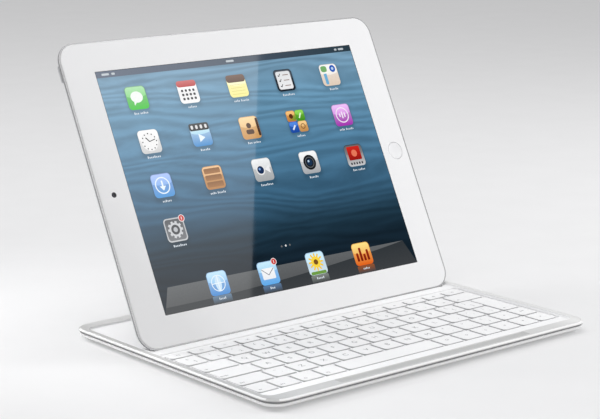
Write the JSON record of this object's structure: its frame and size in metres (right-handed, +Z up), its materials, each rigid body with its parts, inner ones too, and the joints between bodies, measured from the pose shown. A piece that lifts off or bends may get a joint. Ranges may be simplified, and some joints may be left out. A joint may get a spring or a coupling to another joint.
{
  "type": "tablet keyboard case",
  "caption": "Thin rounded keyboard cover with low key rows, a magnetic stand groove and a rear hinge clip, holding a tablet upright and tilted back.",
  "frame": {"origin": "on the desk, below the middle of the whole object's plan box", "axes": "+X to the right along the key rows, +Y from the front edge to the rear edge, +Z up"},
  "size_m": [0.2444, 0.2046, 0.1711],
  "materials": {
    "cover_metal": "satin",
    "rim_metal": "polished",
    "cover_white": "gloss",
    "key_white": "satin",
    "grey_rubber": "matt",
    "silicone": "matt",
    "magnet": "plated",
    "steel": "brushed",
    "film": "matt",
    "cell_foil": "satin",
    "circuit_board": "satin",
    "ribbon": "satin",
    "light_pipe": "clear",
    "tablet_metal": "satin",
    "tablet_white_glass": "gloss",
    "display": "lit",
    "lens_black": "gloss",
    "button_white": "gloss",
    "button_metal": "satin"
  },
  "bodies": {
    "cover": {"bottom_shell": "cover_metal", "rim_frame": "rim_metal", "deck_panel": "cover_white", "key_frame": "cover_white", "groove_liner": "grey_rubber", "groove_magnets": "magnet", "wake_magnet": "magnet", "key_base_plate": "steel", "membrane_sheet": "film", "rubber_domes": "silicone", "scissor_links": "film", "battery_cells": "cell_foil", "controller_board": "circuit_board", "usb_socket": "steel", "ribbon_cable": "ribbon", "status_light": "light_pipe", "rubber_feet": "grey_rubber", "case_screws": "steel", "hinge_bracket": "rim_metal", "hinge_pin": "steel"},
    "clip": {"hinge_clip": "rim_metal", "clip_magnets": "magnet"},
    "power_slider": {"power_switch": "button_metal"},
    "connect": {"connect_button": "button_metal"},
    "function_group": {"function_keys": "key_white"},
    "number_group": {"number_keys": "key_white"},
    "backspace_key_body": {"backspace_key": "key_white"},
    "tab_key_body": {"tab_key": "key_white"},
    "top_letter_group": {"top_letter_keys": "key_white"},
    "return_key_body": {"return_key": "key_white"},
    "caps_lock_key_body": {"caps_lock_key": "key_white"},
    "home_letter_group": {"home_letter_keys": "key_white"},
    "left_shift_key_body": {"left_shift_key": "key_white"},
    "bottom_letter_group": {"bottom_letter_keys": "key_white"},
    "up_arrow_key_body": {"up_arrow_key": "key_white"},
    "right_shift_key_body": {"right_shift_key": "key_white"},
    "fn_key_body": {"fn_key": "key_white"},
    "control_key_body": {"control_key": "key_white"},
    "left_option_key_body": {"left_option_key": "key_white"},
    "left_command_key_body": {"left_command_key": "key_white"},
    "space_bar_body": {"space_bar": "key_white"},
    "right_command_key_body": {"right_command_key": "key_white"},
    "right_option_key_body": {"right_option_key": "key_white"},
    "right_control_key_body": {"right_control_key": "key_white"},
    "left_arrow_key_body": {"left_arrow_key": "key_white"},
    "down_arrow_key_body": {"down_arrow_key": "key_white"},
    "right_arrow_key_body": {"right_arrow_key": "key_white"},
    "tablet": {"tablet_shell": "tablet_metal", "tablet_glass": "tablet_white_glass", "tablet_display": "display", "tablet_battery": "cell_foil", "tablet_logic_board": "circuit_board", "tablet_front_camera": "lens_black", "tablet_rear_camera": "lens_black", "tablet_dock_port": "steel", "tablet_magnets": "magnet"},
    "home": {"home_button": "button_white"},
    "tablet_power": {"tablet_power_button": "button_metal"},
    "volume": {"volume_rocker": "button_metal"},
    "mute": {"mute_switch": "button_metal"}
  },
  "joints": [
    {"name": "clip_fold", "type": "hinge", "parent": "cover", "child": "clip", "pos_m": [0, 0.08603, 0.0042], "axis": [1, 0, 0], "range_deg": [0, 95]},
    {"name": "power_switch_slide", "type": "slide", "parent": "cover", "child": "power_slider", "axis": [0, 1, 0], "range_m": [0, 0.0025]},
    {"name": "connect_press", "type": "slide", "parent": "cover", "child": "connect", "axis": [-1, 0, 0], "range_m": [0, 0.0004], "stiffness_N_per_m": 300, "springref_m": -0.0003},
    {"name": "press_function_keys", "type": "slide", "parent": "cover", "child": "function_group", "axis": [0, 0, -1], "range_m": [0, 0.0012], "stiffness_N_per_m": 300, "springref_m": -0.0005},
    {"name": "press_number_keys", "type": "slide", "parent": "cover", "child": "number_group", "axis": [0, 0, -1], "range_m": [0, 0.0012], "stiffness_N_per_m": 300, "springref_m": -0.0005},
    {"name": "press_backspace_key", "type": "slide", "parent": "cover", "child": "backspace_key_body", "axis": [0, 0, -1], "range_m": [0, 0.0012], "stiffness_N_per_m": 300, "springref_m": -0.0005},
    {"name": "press_tab_key", "type": "slide", "parent": "cover", "child": "tab_key_body", "axis": [0, 0, -1], "range_m": [0, 0.0012], "stiffness_N_per_m": 300, "springref_m": -0.0005},
    {"name": "press_top_letter_keys", "type": "slide", "parent": "cover", "child": "top_letter_group", "axis": [0, 0, -1], "range_m": [0, 0.0012], "stiffness_N_per_m": 300, "springref_m": -0.0005},
    {"name": "press_return_key", "type": "slide", "parent": "cover", "child": "return_key_body", "axis": [0, 0, -1], "range_m": [0, 0.0012], "stiffness_N_per_m": 300, "springref_m": -0.0005},
    {"name": "press_caps_lock_key", "type": "slide", "parent": "cover", "child": "caps_lock_key_body", "axis": [0, 0, -1], "range_m": [0, 0.0012], "stiffness_N_per_m": 300, "springref_m": -0.0005},
    {"name": "press_home_letter_keys", "type": "slide", "parent": "cover", "child": "home_letter_group", "axis": [0, 0, -1], "range_m": [0, 0.0012], "stiffness_N_per_m": 300, "springref_m": -0.0005},
    {"name": "press_left_shift_key", "type": "slide", "parent": "cover", "child": "left_shift_key_body", "axis": [0, 0, -1], "range_m": [0, 0.0012], "stiffness_N_per_m": 300, "springref_m": -0.0005},
    {"name": "press_bottom_letter_keys", "type": "slide", "parent": "cover", "child": "bottom_letter_group", "axis": [0, 0, -1], "range_m": [0, 0.0012], "stiffness_N_per_m": 300, "springref_m": -0.0005},
    {"name": "press_up_arrow_key", "type": "slide", "parent": "cover", "child": "up_arrow_key_body", "axis": [0, 0, -1], "range_m": [0, 0.0012], "stiffness_N_per_m": 300, "springref_m": -0.0005},
    {"name": "press_right_shift_key", "type": "slide", "parent": "cover", "child": "right_shift_key_body", "axis": [0, 0, -1], "range_m": [0, 0.0012], "stiffness_N_per_m": 300, "springref_m": -0.0005},
    {"name": "press_fn_key", "type": "slide", "parent": "cover", "child": "fn_key_body", "axis": [0, 0, -1], "range_m": [0, 0.0012], "stiffness_N_per_m": 300, "springref_m": -0.0005},
    {"name": "press_control_key", "type": "slide", "parent": "cover", "child": "control_key_body", "axis": [0, 0, -1], "range_m": [0, 0.0012], "stiffness_N_per_m": 300, "springref_m": -0.0005},
    {"name": "press_left_option_key", "type": "slide", "parent": "cover", "child": "left_option_key_body", "axis": [0, 0, -1], "range_m": [0, 0.0012], "stiffness_N_per_m": 300, "springref_m": -0.0005},
    {"name": "press_left_command_key", "type": "slide", "parent": "cover", "child": "left_command_key_body", "axis": [0, 0, -1], "range_m": [0, 0.0012], "stiffness_N_per_m": 300, "springref_m": -0.0005},
    {"name": "press_space_bar", "type": "slide", "parent": "cover", "child": "space_bar_body", "axis": [0, 0, -1], "range_m": [0, 0.0012], "stiffness_N_per_m": 300, "springref_m": -0.0005, "deforming": ["rubber_domes", "scissor_links"]},
    {"name": "press_right_command_key", "type": "slide", "parent": "cover", "child": "right_command_key_body", "axis": [0, 0, -1], "range_m": [0, 0.0012], "stiffness_N_per_m": 300, "springref_m": -0.0005},
    {"name": "press_right_option_key", "type": "slide", "parent": "cover", "child": "right_option_key_body", "axis": [0, 0, -1], "range_m": [0, 0.0012], "stiffness_N_per_m": 300, "springref_m": -0.0005},
    {"name": "press_right_control_key", "type": "slide", "parent": "cover", "child": "right_control_key_body", "axis": [0, 0, -1], "range_m": [0, 0.0012], "stiffness_N_per_m": 300, "springref_m": -0.0005},
    {"name": "press_left_arrow_key", "type": "slide", "parent": "cover", "child": "left_arrow_key_body", "axis": [0, 0, -1], "range_m": [0, 0.0012], "stiffness_N_per_m": 300, "springref_m": -0.0005},
    {"name": "press_down_arrow_key", "type": "slide", "parent": "cover", "child": "down_arrow_key_body", "axis": [0, 0, -1], "range_m": [0, 0.0012], "stiffness_N_per_m": 300, "springref_m": -0.0005},
    {"name": "press_right_arrow_key", "type": "slide", "parent": "cover", "child": "right_arrow_key_body", "axis": [0, 0, -1], "range_m": [0, 0.0012], "stiffness_N_per_m": 300, "springref_m": -0.0005},
    {"name": "tablet_lift", "type": "slide", "parent": "cover", "child": "tablet", "axis": [0, 0.4493, 0.8934], "range_m": [0, 0.06]},
    {"name": "home_press", "type": "slide", "parent": "tablet", "child": "home", "axis": [0, 0.8934, -0.4493], "range_m": [0, 0.0004], "stiffness_N_per_m": 300, "springref_m": -0.0004},
    {"name": "tablet_power_press", "type": "slide", "parent": "tablet", "child": "tablet_power", "axis": [1, 0, 0], "range_m": [0, 0.0004], "stiffness_N_per_m": 300, "springref_m": -0.0003},
    {"name": "volume_rock", "type": "hinge", "parent": "tablet", "child": "volume", "pos_m": [-0.082, 0.09874, 0.16678], "axis": [0, -0.8934, 0.4493], "range_deg": [-1.2, 1.2], "stiffness_Nm_per_rad": 0.02},
    {"name": "mute_slide", "type": "slide", "parent": "tablet", "child": "mute", "axis": [-1, 0, 0], "range_m": [-0.0018, 0]}
  ]
}
